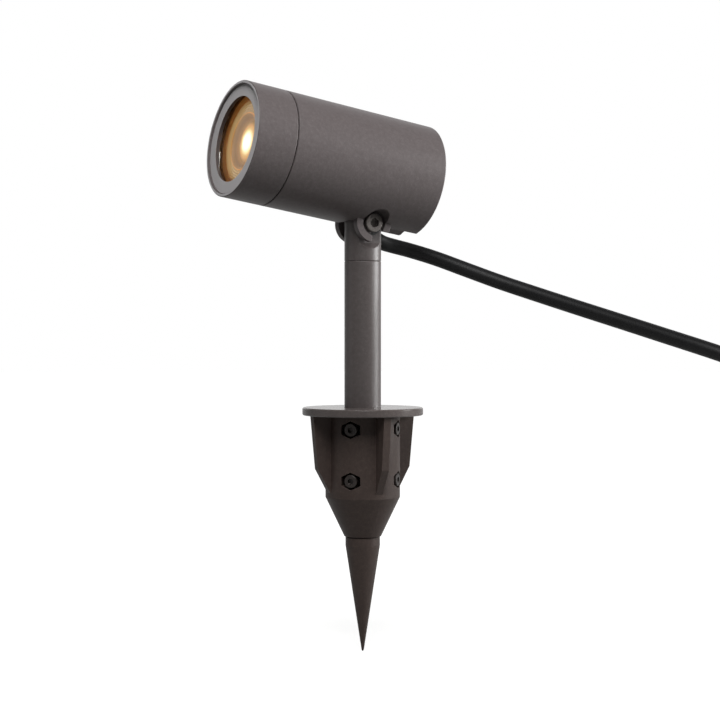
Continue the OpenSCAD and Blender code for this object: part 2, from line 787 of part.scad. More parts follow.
module earth_screw() {
    color("#c9a24e") head_frame() on_axis(rear_inner_h + earth_boss_len, earth_x, -earth_drop) union() {
        cylinder(d = earth_head_d, h = small_head_t);
        translate([0, 0, -earth_boss_len + overrun]) cylinder(d = earth_screw_d, h = earth_boss_len);
    }
}

// Gland and the wiring inside the head
module gland_body() {
    color("#2a2a2b") head_frame() on_gland(gland_boss_start)
        ring(gland_body_d / 2, (cord_d + loose_fit) / 2 + overrun / 2, gland_body_len);
}

module gland_nut() {
    nut_r = gland_nut_d / 2;
    hole_r = cord_r + cord_gap;
    color("#2a2a2b") head_frame() on_gland() rotate_extrude() polygon([
        [hole_r, 0], [hole_r + overrun, 0], [nut_r, 2 * overrun], [nut_r, gland_nut_len],
        [hole_r, gland_nut_len]
    ]);
}

module gland_seal() {
    seal_r = (cord_d + loose_fit) / 2 + overrun / 2;
    color("#1b1b1b") head_frame() on_gland(gland_boss_start) ring(seal_r, cord_r, gland_body_len / 2);
}

module inner_cord() {
    color("#191919") head_frame() on_gland() cylinder(r = cord_r, h = inner_cord_len);
}

core_axis = [0, -cos(gland_dip), sin(gland_dip)];
core_start = gland_end + (inner_cord_len + loose_fit) * core_axis;
core_spread = core_d / 2 + clearance;
lane_r = (holder_r + bore_r) / 2;
core_lanes = [-10, 15, 35];
earth_lanes = [-20, -30];
block_front = -(rear_inner_h + block_t);
core_row = pivot_drop + block_rise + block_height / 4;
wire_row = pivot_drop + block_rise + block_height * 3 / 4;
earth_front = -(rear_inner_h + earth_boss_len + small_head_t) - core_d / 2 - running_fit;

function lane(turn, h, r) = [-r * cos(turn), -h, pivot_drop + r * sin(turn)];

module mains_cores() {
    colors = ["#7a4a2a", "#2f5fa8"];
    for (i = [0, 1]) color(colors[i]) head_frame() tube(smooth_route([
        core_start + [core_spread * (2 * i - 1), 0, 0],
        core_start + [core_spread * (2 * i - 1), 0, 0] + 2 * core_d * core_axis,
        lane(core_lanes[0], lamp_end_h + 1.6 * core_d, lane_r - core_spread * (2 * i - 1)),
        lane(core_lanes[1], lamp_end_h, lane_r - core_spread * (2 * i - 1)),
        lane(core_lanes[2], holder_h + holder_len / 4, lane_r - core_spread * (2 * i - 1)),
        [(i - 1) * block_pitch, block_front - 2 * core_d, core_row],
        [(i - 1) * block_pitch, block_front, core_row]
    ], 3), core_d / 2, coil_sides);
    color("#7d9a3c") head_frame() tube(smooth_route([
        core_start + 1.75 * core_spread * [0, sin(gland_dip), cos(gland_dip)],
        lane(earth_lanes[0], lamp_end_h - core_d / 2, lane_r - core_spread),
        lane(earth_lanes[1], holder_h + holder_len / 3, lane_r - core_spread),
        [-block_pitch, block_front / 3, boss_top + 1.7 * core_d],
        [earth_x, earth_front, pivot_drop - earth_drop]
    ], 3), core_d / 2, coil_sides);
}

module lamp_wires() {
    side = 1.5 * core_d;
    exit_h = pivot_drop + holder_r - core_d;
    color("#d8d4cc") head_frame() for (i = [0, 1]) tube(smooth_route([
        [(2 * i - 1) * side, clearance - holder_h, exit_h],
        [(2 * i - 1) * side, core_d - holder_h, exit_h + core_d / 4],
        [((2 * i - 1) * side + (i - 1) * block_pitch) / 2, block_front / 3, wire_row + core_d / 2],
        [(i - 1) * block_pitch, block_front, wire_row]
    ], 3), core_d / 2, coil_sides);
}

// Cord, its put-away coil and its plug
module cord_lead() {
    color("#191919") tube(cord_path, cord_r, cord_sides);
}

module cord_coil() {
    color("#191919") tube(coil_path, cord_r, coil_sides);
}

module cord_tail() {
    color("#191919") tube(tail_path, cord_r, cord_sides);
}

module round_square(w, h, r) {
    for (x = [r - w / 2, w / 2 - r], y = [r - h / 2, h / 2 - r]) translate([x, y]) circle(r = r);
    square([w - 2 * r, h], center = true);
    square([w, h - 2 * r], center = true);
}

module cord_tie() {
    bundle_w = coil_pitch + cord_d + 2 * tie_room;
    bundle_h = coil_pitch + cord_d + 2 * cord_gap;
    bundle_r = coil_out_r - coil_pitch;
    color("#101010") translate([coil_center[0], coil_center[1], coil_center[2] + coil_pitch / 2])
        rotate([90, 0, tie_turn]) translate([bundle_r, 0, 0]) union() {
            difference() {
                linear_extrude(tie_w, center = true)
                    round_square(bundle_w + 2 * tie_t, bundle_h + 2 * tie_t, cord_r + tie_t);
                linear_extrude(tie_w + 2 * overrun, center = true)
                    round_square(bundle_w, bundle_h, cord_r);
            }
            translate([bundle_w / 2 + tie_t / 2, -tie_head[1] / 2, -tie_head[2] / 2]) cube(tie_head);
        }
}

module plug_frame() {
    translate(plug_at) rotate([0, -90, 0]) children();
}

module plug_boot() {
    rib = boot_len / (2 * boot_ribs);
    color("#161616") plug_frame() rotate_extrude() polygon(concat(
        [[0, -boot_len]],
        [for (i = [0 : 2 * boot_ribs - 1], end = [0, 1])
            [boot_tip_r + (plug_neck_r - boot_tip_r) * i / (2 * boot_ribs) + boot_rib_depth * (i % 2),
             rib * (i + end) - boot_len]],
        [[0, 0]]
    ));
}

module plug_body() {
    plug_r = plug_d / 2;
    color("#161616") plug_frame() difference() {
        rotate_extrude() polygon([
            [0, 0], [plug_neck_r + boot_rib_depth, 0], [plug_r * 0.55, plug_len * 0.2],
            [plug_r * 0.68, plug_len * 0.42], [plug_r * 0.95, plug_len * 0.55], [plug_r, plug_len * 0.62],
            [plug_r, plug_len - 2 * overrun], [plug_r - overrun, plug_len - overrun],
            [plug_r - 2 * overrun, plug_len], [0, plug_len]
        ]);
        for (side = [-1, 1])
            translate([0, side * plug_pin_pitch / 2, plug_len - plug_pin_len / 2])
                cylinder(d = plug_pin_d, h = plug_pin_len);
        for (side = [-1, 1])
            translate([side * (plug_r - clip_strip[0] / 2), 0, plug_len - clip_strip[2] / 2 + overrun]) cube(
                [clip_strip[0] + overrun, clip_strip[1] + clearance, clip_strip[2] + 2 * overrun],
                center = true);
        translate([plug_r / 2, 0, plug_len - plug_pin_len / 2])
            cylinder(d = plug_pin_d + clearance, h = plug_pin_len);
    }
}

module plug_pins() {
    color("#c8c6c0") plug_frame() for (side = [-1, 1])
        translate([0, side * plug_pin_pitch / 2, plug_len - plug_pin_len / 2]) union() {
            cylinder(d = plug_pin_d, h = plug_pin_len * 1.5 - plug_pin_d / 2);
            translate([0, 0, plug_pin_len * 1.5 - plug_pin_d / 2]) sphere(d = plug_pin_d);
        }
}

module plug_clips() {
    plug_r = plug_d / 2;
    color("#c8c6c0") plug_frame() for (side = [-1, 1])
        translate([side * (plug_r - clip_strip[0] / 2 - overrun / 2), 0, plug_len - clip_strip[2] / 2])
            cube(clip_strip, center = true);
}

spike_body();
spike_tip();
ground_plate();
post_spigot();
clamp_nuts();
clamp_screws();
post_tube();
post_knuckle();
head_housing();
pivot_screw();
friction_washers();
bezel_seal();
bezel();
front_glass();
glass_gasket();
glass_clip();
lamp_body();
lamp_lens();
lamp_led();
lamp_pins();
lamp_holder();
holder_bracket();
holder_screws();
terminal_block();
terminal_screws();
earth_screw();
gland_body();
gland_nut();
gland_seal();
inner_cord();
mains_cores();
lamp_wires();
cord_lead();
cord_coil();
cord_tail();
cord_tie();
plug_boot();
plug_body();
plug_pins();
plug_clips();
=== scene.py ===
import math

import bmesh
import bpy
from mathutils import Matrix, Vector


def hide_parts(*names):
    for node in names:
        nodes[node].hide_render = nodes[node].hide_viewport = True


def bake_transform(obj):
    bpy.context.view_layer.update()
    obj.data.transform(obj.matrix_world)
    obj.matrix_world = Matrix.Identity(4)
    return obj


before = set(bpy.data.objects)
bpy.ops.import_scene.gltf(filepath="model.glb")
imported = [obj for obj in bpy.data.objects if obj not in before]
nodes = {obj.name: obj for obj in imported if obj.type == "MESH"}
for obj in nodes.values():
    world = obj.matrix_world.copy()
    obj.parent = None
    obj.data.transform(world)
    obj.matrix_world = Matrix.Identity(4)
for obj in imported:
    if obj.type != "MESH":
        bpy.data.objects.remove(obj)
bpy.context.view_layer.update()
print("frame loaded with", len(nodes), "nodes")

# the camera stands where the photograph was taken from, about a metre away and level with the post
shot = {
    "place": (0.8745, -0.4847, 0.0494),
    "aim": (-0.00072, -0.0013, 0.03004),
    "lens": 91.5,
    "sensor": 36,
}
cameraData = bpy.data.cameras.new("photoCamera")
cameraData.lens = shot["lens"]
cameraData.sensor_width = shot["sensor"]
photoCamera = bpy.data.objects.new("photoCamera", cameraData)
bpy.context.collection.objects.link(photoCamera)
photoCamera.location = shot["place"]
sight = Vector(shot["aim"]) - Vector(shot["place"])
photoCamera.rotation_euler = sight.to_track_quat("-Z", "Y").to_euler()
bpy.context.scene.camera = photoCamera
print("camera placed")


def linear(text):
    # sRGB hex to the linear values that sockets take
    parts = [int(text[i:i + 2], 16) / 255 for i in (1, 3, 5)]
    return tuple(p / 12.92 if p <= 0.04045 else ((p + 0.055) / 1.055) ** 2.4 for p in parts) + (1.0,)


def addNode(tree, kind, inputs=None, **settings):
    # adds a node, sets its options, and fills or links its inputs
    node = tree.nodes.new(kind)
    for name, value in settings.items():
        setattr(node, name, value)
    for socket, value in (inputs or {}).items():
        if isinstance(value, bpy.types.NodeSocket):
            tree.links.new(value, node.inputs[socket])
        else:
            node.inputs[socket].default_value = value
    return node


def setRamp(ramp, stops):
    # stops are (place, hex colour or grey value)
    points = ramp.color_ramp.elements
    while len(points) < len(stops):
        points.new(0.5)
    for point, (place, value) in zip(points, stops):
        point.position = place
        point.color = linear(value) if isinstance(value, str) else (value, value, value, 1.0)


def mainShader(material):
    return material.node_tree.nodes["Principled BSDF"]


def newMaterial(name):
    material = bpy.data.materials.new(name)
    material.use_nodes = True
    return material, material.node_tree, mainShader(material)


def coarseness(mm):
    # noise scale for a grain of that size: object coordinates are metres
    return 1000 / mm


# what all the grainy finishes share
grain = {
    "cloudDetail": 3.0,
    "cloudRoughness": 0.55,
    "gritDetail": 4.0,
    "gritRoughness": 0.6,
    "toneStops": (0.12, 0.27, 0.42),
    "noiseLow": 0.3,
    "noiseHigh": 0.7,
    # an edge is told by how far its rounded normal leans away from the face's own
    "edgeStarts": 0.98,
    "edgeFull": 0.8,
    "edgeMm": 0.35,
    "edgeHighlight": 0.3,
    "edgeSamples": 4,
}


def grainyFinish(name, look):
    # a base colour with two sizes of mottling, roughness that varies a little, painted highlights along the
    # edges and a fine bump
    material, tree, shader = newMaterial(name)
    place = addNode(tree, "ShaderNodeTexCoord")
    cloud = addNode(tree, "ShaderNodeTexNoise", {
        "Vector": place.outputs["Object"], "Scale": coarseness(look["cloudMm"]),
        "Detail": grain["cloudDetail"], "Roughness": grain["cloudRoughness"]})
    grit = addNode(tree, "ShaderNodeTexNoise", {
        "Vector": place.outputs["Object"], "Scale": coarseness(look["gritMm"]),
        "Detail": grain["gritDetail"], "Roughness": grain["gritRoughness"]})
    blend = addNode(tree, "ShaderNodeMath", {
        0: cloud.outputs["Fac"], 1: grit.outputs["Fac"]}, operation="MULTIPLY")
    tone = addNode(tree, "ShaderNodeValToRGB", {"Fac": blend.outputs[0]})
    setRamp(tone, list(zip(grain["toneStops"], (look["dark"], look["colour"], look["pale"]))))
    gloss = addNode(tree, "ShaderNodeMapRange", {
        "Value": grit.outputs["Fac"], "From Min": grain["noiseLow"], "From Max": grain["noiseHigh"],
        "To Min": look["roughness"] - look["roughnessSpread"],
        "To Max": look["roughness"] + look["roughnessSpread"]})
    # edges are slightly rounded, and painted paler along them as a highlight
    rounded = addNode(tree, "ShaderNodeBevel", {
        "Radius": look.get("edgeMm", grain["edgeMm"]) / 1000}, samples=grain["edgeSamples"])
    surface = addNode(tree, "ShaderNodeNewGeometry")
    flatness = addNode(tree, "ShaderNodeVectorMath", {
        0: rounded.outputs["Normal"], 1: surface.outputs["Normal"]}, operation="DOT_PRODUCT")
    paintedEdgeHighlight = addNode(tree, "ShaderNodeMapRange", {
        "Value": flatness.outputs["Value"], "From Min": grain["edgeStarts"], "From Max": grain["edgeFull"],
        "To Min": 0.0, "To Max": look.get("edgeHighlight", grain["edgeHighlight"])})
    # the painted edge highlight: the base colour mixed toward the paler edge colour along the edges
    edged = addNode(tree, "ShaderNodeMixRGB", {
        "Fac": paintedEdgeHighlight.outputs[0], "Color1": tone.outputs["Color"],
        "Color2": linear(look.get("edge", look["pale"]))})
    bump = addNode(tree, "ShaderNodeBump", {
        "Height": grit.outputs["Fac"], "Strength": look["bump"], "Distance": look["bumpMm"] / 1000,
        "Normal": rounded.outputs["Normal"]})
    tree.links.new(edged.outputs["Color"], shader.inputs["Base Color"])
    tree.links.new(gloss.outputs[0], shader.inputs["Roughness"])
    tree.links.new(bump.outputs["Normal"], shader.inputs["Normal"])
    shader.inputs["Metallic"].default_value = look.get("metallic", 0.0)
    shader.inputs["IOR"].default_value = look.get("ior", 1.5)
    return material


# The finishes: cloudMm is the broad mottling and gritMm the fine one. On the real surfaces the fine one is
# 0.1 to 0.3 mm, and it is drawn about three times as coarse so that it shows.

# Polyester powder coat over cast aluminium: warm anthracite, with a sprayed grain that breaks up the sheen.
coatLook = {
    "colour": "#565050", "dark": "#514b4b", "pale": "#5c5656", "cloudMm": 2.0, "gritMm": 0.7,
    "roughness": 0.4, "roughnessSpread": 0.06, "bump": 0.35, "bumpMm": 0.12, "ior": 1.3,
    "edge": "#837b79", "edgeHighlight": 0.5}
powderCoat = grainyFinish("powderCoat", coatLook)
# The same coat on the turned post and knuckle lies smoother, and its colour is painted a shade darker than
# the head's, as painted shade under the head.
shadedPostCoat = grainyFinish("powderCoatOnTubeShaded", {
    "colour": "#4d4746", "dark": "#484241", "pale": "#534d4c", "cloudMm": 2.0, "gritMm": 0.7,
    "roughness": 0.42, "roughnessSpread": 0.05, "bump": 0.3, "bumpMm": 0.1, "ior": 1.5,
    "edge": "#7b7371", "edgeHighlight": 0.5})
# The same coat on the flat steel plate is smooth enough to catch the white room behind it.
plateCoat = grainyFinish("powderCoatOnSteel", {
    "colour": "#544d4b", "dark": "#4e4746", "pale": "#5b5452", "cloudMm": 2.0, "gritMm": 0.7,
    "roughness": 0.22, "roughnessSpread": 0.04, "bump": 0.1, "bumpMm": 0.02, "ior": 1.45,
    "edge": "#8a817e", "edgeHighlight": 0.6})
# Glass-filled nylon, injection moulded: dark brown, with a dull skin and faint flow marks.
mouldedNylon = grainyFinish("glassFilledNylon", {
    "colour": "#413733", "dark": "#3c322f", "pale": "#483d39", "cloudMm": 2.5, "gritMm": 0.7,
    "roughness": 0.46, "roughnessSpread": 0.07, "bump": 0.3, "bumpMm": 0.1, "ior": 1.3,
    "edge": "#6d605b", "edgeHighlight": 0.5, "edgeMm": 0.4})
# Blackened stainless steel: dull, with a painted highlight in a paler grey along the edges.
blackSteel = grainyFinish("blackenedStainless", {
    "colour": "#5c5754", "dark": "#4e4a47", "pale": "#6a6562", "cloudMm": 3.0, "gritMm": 0.4,
    "roughness": 0.42, "roughnessSpread": 0.08, "bump": 0.15, "bumpMm": 0.05, "metallic": 0.5,
    "edge": "#a59f9b", "edgeHighlight": 0.8, "edgeMm": 0.3})
# Phosphated steel: the stake's nuts and screws are nearly as dark as the nylon round them.
darkSteel = grainyFinish("phosphatedSteel", {
    "colour": "#2f2927", "dark": "#26211f", "pale": "#3a3431", "cloudMm": 3.0, "gritMm": 0.4,
    "roughness": 0.4, "roughnessSpread": 0.08, "bump": 0.15, "bumpMm": 0.05, "metallic": 0.3,
    "edge": "#5e5551", "edgeHighlight": 0.6, "edgeMm": 0.25})
# Zinc-plated steel for what sits inside: bright, with a fine mottling in its shine.
zincSteel = grainyFinish("zincPlatedSteel", {
    "colour": "#b9b9b4", "dark": "#a5a5a0", "pale": "#cbcbc6", "cloudMm": 4.0, "gritMm": 0.5,
    "roughness": 0.34, "roughnessSpread": 0.08, "bump": 0.15, "bumpMm": 0.05, "metallic": 1.0})
# Nickel-plated brass of pins and clips: a warm white metal, nearly polished.
nickelPlate = grainyFinish("nickelPlatedBrass", {
    "colour": "#c9c4b8", "dark": "#b7b2a6", "pale": "#d8d4c9", "cloudMm": 5.0, "gritMm": 0.5,
    "roughness": 0.24, "roughnessSpread": 0.05, "bump": 0.1, "bumpMm": 0.03, "metallic": 1.0})
# Turned brass: yellow, slightly tarnished.
turnedBrass = grainyFinish("turnedBrass", {
    "colour": "#c29a4a", "dark": "#a98240", "pale": "#d3ae62", "cloudMm": 3.0, "gritMm": 0.4,
    "roughness": 0.3, "roughnessSpread": 0.06, "bump": 0.1, "bumpMm": 0.03, "metallic": 1.0})
# Spring bronze of the clip ring: a brown wall beside the lens, its brown partly the bronze's own and partly
# the lamp's warm light painted on, with hardly any shine.
clipBronzeLampLit = grainyFinish("springBronzeLampLit", {
    "colour": "#7c5a34", "dark": "#6d4e2c", "pale": "#8b673e", "cloudMm": 3.0, "gritMm": 0.4,
    "roughness": 0.7, "roughnessSpread": 0.06, "bump": 0.1, "bumpMm": 0.03, "metallic": 0.2})
# Moulded black nylon of the gland, the washers and the tie: even, with a low sheen.
blackNylon = grainyFinish("blackNylon", {
    "colour": "#232324", "dark": "#1d1d1e", "pale": "#2b2b2c", "cloudMm": 5.0, "gritMm": 0.6,
    "roughness": 0.42, "roughnessSpread": 0.06, "bump": 0.2, "bumpMm": 0.05})
# Nitrile rubber of the seals: matt black.
sealRubber = grainyFinish("nitrileRubber", {
    "colour": "#1d1d1d", "dark": "#181818", "pale": "#242424", "cloudMm": 4.0, "gritMm": 0.5,
    "roughness": 0.6, "roughnessSpread": 0.06, "bump": 0.2, "bumpMm": 0.05, "ior": 1.52})
# Silicone of the glass gasket: soft and dull, in the amber that the lamp's light gives it.
silicone = grainyFinish("siliconeRubber", {
    "colour": "#8a5a30", "dark": "#7c5029", "pale": "#986538", "cloudMm": 4.0, "gritMm": 0.6,
    "roughness": 0.5, "roughnessSpread": 0.05, "bump": 0.1, "bumpMm": 0.04, "ior": 1.41})
# Steatite, the pressed and fired ceramic of lamp holders: off-white, with a dry sheen.
steatite = grainyFinish("steatiteCeramic", {
    "colour": "#e2ddd2", "dark": "#d6d0c4", "pale": "#ece8df", "cloudMm": 5.0, "gritMm": 0.8,
    "roughness": 0.45, "roughnessSpread": 0.08, "bump": 0.2, "bumpMm": 0.06, "ior": 1.6})
# Polyamide of the terminal block: white, a little waxy.
terminalPlastic = grainyFinish("whitePolyamide", {
    "colour": "#e6e2d8", "dark": "#dcd7cc", "pale": "#efece4", "cloudMm": 6.0, "gritMm": 0.8,
    "roughness": 0.4, "roughnessSpread": 0.06, "bump": 0.15, "bumpMm": 0.05})
# Silicone sleeve of the lamp wires: pale and soft.
wireSleeve = grainyFinish("siliconeSleeve", {
    "colour": "#d8d2c6", "dark": "#cac4b8", "pale": "#e3dfd5", "cloudMm": 5.0, "gritMm": 0.6,
    "roughness": 0.5, "roughnessSpread": 0.06, "bump": 0.1, "bumpMm": 0.04})
# Rubber insulation of the mains cores: brown and dull.
coreInsulation = grainyFinish("coreInsulation", {
    "colour": "#5f4532", "dark": "#533b2a", "pale": "#6d523e", "cloudMm": 5.0, "gritMm": 0.6,
    "roughness": 0.45, "roughnessSpread": 0.06, "bump": 0.1, "bumpMm": 0.04})
# Metallised polycarbonate of the lamp's shell: amber, as its rim passes on some of the lamp's light.
shellLook = {
    "colour": "#9a6a38", "dark": "#8c5f31", "pale": "#a87744", "cloudMm": 8.0, "gritMm": 0.8,
    "roughness": 0.4, "roughnessSpread": 0.05, "bump": 0.1, "bumpMm": 0.04,
    "glowColour": "#a8682c", "glow": 0.3}
lampShell = grainyFinish("metallisedPolycarbonate", shellLook)
shellShader = mainShader(lampShell)
shellShader.inputs["Emission Color"].default_value = linear(shellLook["glowColour"])
shellShader.inputs["Emission Strength"].default_value = shellLook["glow"]


def rubberSheath(name, look):
    material = grainyFinish(name, look)
    shader = mainShader(material)
    shader.inputs["Sheen Weight"].default_value = look["sheen"]
    shader.inputs["Sheen Roughness"].default_value = look["sheenRoughness"]
    return material


# Chloroprene rubber, extruded: nearly black, with a soft sheen along the cord.
cordRubber = rubberSheath("chloropreneSheath", {
    "colour": "#121213", "dark": "#0e0e0f", "pale": "#171718", "cloudMm": 4.0, "gritMm": 0.8,
    "roughness": 0.5, "roughnessSpread": 0.07, "bump": 0.25, "bumpMm": 0.06, "ior": 1.3,
    "sheen": 0.05, "sheenRoughness": 0.4})
# The plug is moulded from a harder rubber, a little greyer and coarser.
plugRubber = rubberSheath("mouldedRubber", {
    "colour": "#1c1c1d", "dark": "#171718", "pale": "#232324", "cloudMm": 8.0, "gritMm": 1.0,
    "roughness": 0.5, "roughnessSpread": 0.07, "bump": 0.3, "bumpMm": 0.08, "ior": 1.52,
    "sheen": 0.05, "sheenRoughness": 0.4})

# Tempered soda-lime glass with an anti-reflex coat: clear, with a faint mottling, and it mirrors little.
glassLook = {
    "colour": "#fbfdfb",
    "ior": 1.5,
    "mirrorLevel": 0.15,
    "mirrorTint": "#707070",
    "filmMm": 12.0,
    "filmDetail": 2.0,
    "filmRoughness": 0.02,
}
clearGlass, glassTree, glassShader = newMaterial("temperedGlass")
glassPlace = addNode(glassTree, "ShaderNodeTexCoord")
glassFilm = addNode(glassTree, "ShaderNodeTexNoise", {
    "Vector": glassPlace.outputs["Object"], "Scale": coarseness(glassLook["filmMm"]),
    "Detail": glassLook["filmDetail"]})
glassGloss = addNode(glassTree, "ShaderNodeMapRange", {
    "Value": glassFilm.outputs["Fac"], "From Min": grain["noiseLow"], "From Max": grain["noiseHigh"],
    "To Min": 0.0, "To Max": glassLook["filmRoughness"]})
glassTree.links.new(glassGloss.outputs[0], glassShader.inputs["Roughness"])
glassShader.inputs["Base Color"].default_value = linear(glassLook["colour"])
glassShader.inputs["IOR"].default_value = glassLook["ior"]
glassShader.inputs["Specular IOR Level"].default_value = glassLook["mirrorLevel"]
glassShader.inputs["Specular Tint"].default_value = linear(glassLook["mirrorTint"])
glassShader.inputs["Transmission Weight"].default_value = 1.0


def fromAxis(tree, look):
    # distance from the lamp's own axis, in metres
    place = addNode(tree, "ShaderNodeTexCoord")
    away = addNode(tree, "ShaderNodeVectorMath", {
        0: place.outputs["Object"], 1: look["axisPoint"]}, operation="SUBTRACT")
    across = addNode(tree, "ShaderNodeVectorMath", {
        0: away.outputs[0], 1: look["axis"]}, operation="CROSS_PRODUCT")
    return addNode(tree, "ShaderNodeVectorMath", {0: across.outputs[0]}, operation="LENGTH").outputs["Value"]


# the lit lamp: the optic's bands and ridges, and the light source in its middle
lampLook = {
    "axis": (0, -0.98629, 0.16505),
    "axisPoint": (0, -0.074083, 0.146403),
    "rim": 0.0225,
    # radius as a share of the rim's, from the bowl's foot out to the ridged ring
    "bands": [(0.5, "#b4813e"), (0.58, "#94662c"), (0.66, "#ac7c3c"), (0.675, "#f0aa50"), (0.7, "#c49c60"),
              (0.85, "#c8a268"), (0.96, "#a97c40")],
    "ridgeMm": 0.67,
    "ridgesFrom": 0.7,
    "ridgeShade": 0.16,
    "ridgeBump": 0.4,
    "ridgeDepth": 0.0002,
    "ringGlow": 0.5,
    "opticRoughness": 0.5,
    "opticIor": 1.58,
    "opticMirrorLevel": 0.08,
    "source": 0.0109,
    "glow": [(0.0, 2.6), (0.35, 1.8), (0.62, 0.8), (1.0, 0.45)],
    "glowTop": 4.0,
    "glowColour": [(0.0, "#fffaf0"), (0.45, "#ffe9ba"), (0.7, "#f6bf70"), (1.0, "#c48e4c")],
    "sourceRoughness": 0.5,
    "sourceMirrorLevel": 0.1,
}

# Moulded polycarbonate optic of the lamp, lit from behind: bands by radius, and fine concentric ridges.
lampOptic, opticTree, opticShader = newMaterial("mouldedPolycarbonateOptic")
opticRadius = fromAxis(opticTree, lampLook)
opticShare = addNode(opticTree, "ShaderNodeMath", {0: opticRadius, 1: lampLook["rim"]}, operation="DIVIDE")
opticTone = addNode(opticTree, "ShaderNodeValToRGB", {"Fac": opticShare.outputs[0]})
setRamp(opticTone, lampLook["bands"])
opticTurn = addNode(opticTree, "ShaderNodeMath", {
    0: opticRadius, 1: 2 * math.pi * coarseness(lampLook["ridgeMm"])}, operation="MULTIPLY")
opticWave = addNode(opticTree, "ShaderNodeMath", {0: opticTurn.outputs[0]}, operation="SINE")
opticOuter = addNode(opticTree, "ShaderNodeMath", {
    0: opticShare.outputs[0], 1: lampLook["ridgesFrom"]}, operation="GREATER_THAN")
opticRidge = addNode(opticTree, "ShaderNodeMath", {
    0: opticWave.outputs[0], 1: opticOuter.outputs[0]}, operation="MULTIPLY")
opticShade = addNode(opticTree, "ShaderNodeMath", {
    0: opticRidge.outputs[0], 1: lampLook["ridgeShade"], 2: lampLook["ringGlow"]}, operation="MULTIPLY_ADD")
opticBump = addNode(opticTree, "ShaderNodeBump", {
    "Height": opticRidge.outputs[0], "Strength": lampLook["ridgeBump"], "Distance": lampLook["ridgeDepth"]})
opticTree.links.new(opticTone.outputs["Color"], opticShader.inputs["Base Color"])
opticTree.links.new(opticTone.outputs["Color"], opticShader.inputs["Emission Color"])
opticTree.links.new(opticShade.outputs[0], opticShader.inputs["Emission Strength"])
opticTree.links.new(opticBump.outputs["Normal"], opticShader.inputs["Normal"])
opticShader.inputs["Roughness"].default_value = lampLook["opticRoughness"]
opticShader.inputs["IOR"].default_value = lampLook["opticIor"]
opticShader.inputs["Specular IOR Level"].default_value = lampLook["opticMirrorLevel"]

# Phosphor under its dome: white hot in the middle, amber toward the edge.
lampSource, sourceTree, sourceShader = newMaterial("phosphorDome")
sourceShare = addNode(sourceTree, "ShaderNodeMath", {
    0: fromAxis(sourceTree, lampLook), 1: lampLook["source"]}, operation="DIVIDE")
sourceTone = addNode(sourceTree, "ShaderNodeValToRGB", {"Fac": sourceShare.outputs[0]})
setRamp(sourceTone, lampLook["glowColour"])
# a ramp holds values up to one, so the glow goes in as a share of its top and is multiplied back
sourceLevel = addNode(sourceTree, "ShaderNodeValToRGB", {"Fac": sourceShare.outputs[0]})
setRamp(sourceLevel, [(place, value / lampLook["glowTop"]) for place, value in lampLook["glow"]])
sourceStrength = addNode(sourceTree, "ShaderNodeMath", {
    0: sourceLevel.outputs["Color"], 1: lampLook["glowTop"]}, operation="MULTIPLY")
sourceTree.links.new(sourceTone.outputs["Color"], sourceShader.inputs["Base Color"])
sourceTree.links.new(sourceTone.outputs["Color"], sourceShader.inputs["Emission Color"])
sourceTree.links.new(sourceStrength.outputs[0], sourceShader.inputs["Emission Strength"])
sourceShader.inputs["Roughness"].default_value = lampLook["sourceRoughness"]
sourceShader.inputs["Specular IOR Level"].default_value = lampLook["sourceMirrorLevel"]

# The same powder coat on the bezel: its flat front, the face that looks along the lamp's axis, is painted a
# paler, cooler grey as a painted sheen of light.
bezelLook = {
    **coatLook, "edge": "#938b89", "edgeHighlight": 0.7,
    "front": "#bab7b8", "sheenFacingFrom": 0.9, "sheenFacingFull": 0.98}
bezelCoat = grainyFinish("powderCoatOnBezel", bezelLook)
bezelTree = bezelCoat.node_tree
bezelShader = mainShader(bezelCoat)
bezelPlace = addNode(bezelTree, "ShaderNodeTexCoord")
# the painted sheen: faces that look along the lamp's axis are mixed toward the paler front grey
bezelFacing = addNode(bezelTree, "ShaderNodeVectorMath", {
    0: bezelPlace.outputs["Normal"], 1: lampLook["axis"]}, operation="DOT_PRODUCT")
bezelPaintedSheen = addNode(bezelTree, "ShaderNodeMapRange", {
    "Value": bezelFacing.outputs["Value"],
    "From Min": bezelLook["sheenFacingFrom"], "From Max": bezelLook["sheenFacingFull"]})
bezelMix = addNode(bezelTree, "ShaderNodeMixRGB", {
    "Fac": bezelPaintedSheen.outputs[0], "Color1": bezelShader.inputs["Base Color"].links[0].from_socket,
    "Color2": linear(bezelLook["front"])})
bezelTree.links.new(bezelMix.outputs["Color"], bezelShader.inputs["Base Color"])

finishes = {
    "spike_body": mouldedNylon, "spike_tip": mouldedNylon, "ground_plate": plateCoat,
    "post_spigot": zincSteel, "clamp_nuts": darkSteel, "clamp_screws": darkSteel,
    "post_tube": shadedPostCoat, "post_knuckle": shadedPostCoat,
    "head_housing": powderCoat, "pivot_screw": blackSteel, "friction_washers": blackNylon,
    "bezel": bezelCoat, "bezel_seal": sealRubber,
    "front_glass": clearGlass, "glass_gasket": silicone, "glass_clip": clipBronzeLampLit,
    "lamp_body": lampShell, "lamp_lens": lampOptic, "lamp_led": lampSource, "lamp_pins": nickelPlate,
    "lamp_holder": steatite, "holder_bracket": zincSteel, "holder_screws": zincSteel,
    "terminal_block": terminalPlastic, "terminal_screws": turnedBrass, "earth_screw": turnedBrass,
    "gland_body": blackNylon, "gland_nut": blackNylon, "gland_seal": sealRubber,
    "inner_cord": cordRubber, "mains_cores": coreInsulation, "lamp_wires": wireSleeve,
    "cord_tie": blackNylon, "plug_boot": plugRubber, "plug_body": plugRubber,
    "plug_pins": nickelPlate, "plug_clips": nickelPlate,
}
for name, material in finishes.items():
    mesh = nodes[name].data
    mesh.materials.clear()
    mesh.materials.append(material)
print("finishes laid on", len(finishes), "nodes")


